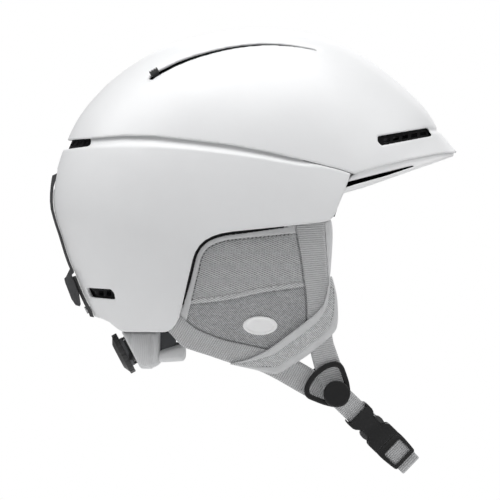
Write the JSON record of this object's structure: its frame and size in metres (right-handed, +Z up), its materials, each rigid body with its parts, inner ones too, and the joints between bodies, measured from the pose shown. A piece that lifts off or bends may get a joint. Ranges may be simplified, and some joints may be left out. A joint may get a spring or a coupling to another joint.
{
  "type": "ski helmet",
  "caption": "Two-piece hard-shell ski helmet with foam liner, sliding crown vent, brim, goggle retainer, soft ear pads, size dial and webbing chin strap with buckle.",
  "frame": {"origin": "midway between the wearer's ear canals, on the mid-plane; the head mount sits there", "axes": "+X towards the wearer's front, +Y towards the wearer's left, +Z up towards the crown"},
  "size_m": [0.2846, 0.2184, 0.3088],
  "materials": {
    "white_shell": "satin in-mould polycarbonate",
    "foam": "moulded expanded foam",
    "trim": "soft matte moulding",
    "grille": "moulded mesh",
    "black_plastic": "fine texture",
    "black_rubber": "soft elastomer",
    "ear_fabric": "heathered twill and coarse mesh",
    "border_fabric": "bound edge with twin stitching",
    "pad_fabric": "brushed knit",
    "webbing": "16 mm ribbed webbing",
    "badge": "plain raised oval",
    "steel": "plain"
  },
  "bodies": {
    "helmet": {"brow_pad": "pad_fabric", "brow_trim": "trim", "cradle_pads": "pad_fabric", "crown_pad": "pad_fabric", "divider_cap_left": "black_plastic", "divider_cap_right": "black_plastic", "ear_badge_left": "badge", "ear_badge_right": "badge", "ear_pad_border_left": "border_fabric", "ear_pad_border_right": "border_fabric", "ear_pad_left": "ear_fabric", "ear_pad_right": "ear_fabric", "exhaust_vent_grilles": "grille", "fit_cover": "black_plastic", "fit_cradle": "black_plastic", "fit_hanger": "black_plastic", "foam_liner": "foam", "front_strap_left": "webbing", "front_strap_right": "webbing", "front_vent_grilles": "grille", "goggle_clip_base": "black_plastic", "goggle_clip_pin": "steel", "goggle_clip_screws": "steel", "lower_shell": "white_shell", "nape_pads": "pad_fabric", "rear_strap_left": "webbing", "rear_strap_right": "webbing", "rear_vent_grille": "grille", "strap_anchors_left": "black_plastic", "strap_anchors_right": "black_plastic", "strap_divider_left": "black_plastic", "strap_divider_right": "black_plastic", "upper_shell": "white_shell"},
    "vent_slider": {"vent_shutter": "black_plastic", "vent_tabs": "black_plastic"},
    "goggle_strap": {"goggle_clip_strap": "black_rubber"},
    "size_dial": {"fit_dial": "black_plastic", "fit_pinion": "black_plastic"},
    "band_left": {"fit_band_left": "black_plastic", "band_cover_left": "pad_fabric", "band_end_pad_left": "pad_fabric"},
    "band_right": {"fit_band_right": "black_plastic", "band_cover_right": "pad_fabric", "band_end_pad_right": "pad_fabric"},
    "chin_loop": {"chin_strap_right": "webbing", "chin_strap_left": "webbing", "buckle_female": "black_plastic"},
    "buckle_insert": {"buckle_male": "black_plastic", "chin_strap_tail": "webbing"},
    "prong_front": {"buckle_prong_front": "black_plastic"},
    "prong_rear": {"buckle_prong_rear": "black_plastic"}
  },
  "joints": [
    {"name": "crown_vent_slide", "type": "hinge", "parent": "helmet", "child": "vent_slider", "pos_m": [0, 0, 0.0105], "axis": [0, 1, 0], "range_deg": [0, 6]},
    {"name": "goggle_strap_open", "type": "hinge", "parent": "helmet", "child": "goggle_strap", "pos_m": [-0.142, 0, 0.061], "axis": [0, 1, 0], "range_deg": [0, 60]},
    {"name": "size_dial_turn", "type": "hinge", "parent": "helmet", "child": "size_dial", "pos_m": [-0.095, 0, -0.063], "axis": [-0.885, 0, -0.4656], "range_deg": [0, 150]},
    {"name": "band_left_slide", "type": "slide", "parent": "helmet", "child": "band_left", "axis": [0, 1, 0], "range_m": [0, 0.01309]},
    {"name": "band_right_slide", "type": "slide", "parent": "helmet", "child": "band_right", "axis": [0, -1, 0], "range_m": [0, 0.01309]},
    {"name": "chin_strap_swing", "type": "hinge", "parent": "helmet", "child": "chin_loop", "pos_m": [0.0517, 0, -0.0914], "axis": [0, 1, 0], "range_deg": [-25, 25]},
    {"name": "buckle_release", "type": "slide", "parent": "chin_loop", "child": "buckle_insert", "axis": [0.6955, 0.2588, -0.6703], "range_m": [0, 0.024]},
    {"name": "prong_front_squeeze", "type": "hinge", "parent": "buckle_insert", "child": "prong_front", "pos_m": [0.09196, -0.05988, -0.1209], "axis": [0.1863, -0.9659, -0.1796], "range_deg": [0, 5]},
    {"name": "prong_rear_squeeze", "type": "hinge", "parent": "buckle_insert", "child": "prong_rear", "pos_m": [0.08267, -0.05988, -0.13055], "axis": [-0.1863, 0.9659, 0.1796], "range_deg": [0, 5]}
  ],
  "couplings": [
    {"joint": "band_left_slide", "follows": "size_dial_turn", "m_per_rad": 0.005},
    {"joint": "band_right_slide", "follows": "size_dial_turn", "m_per_rad": 0.005}
  ]
}
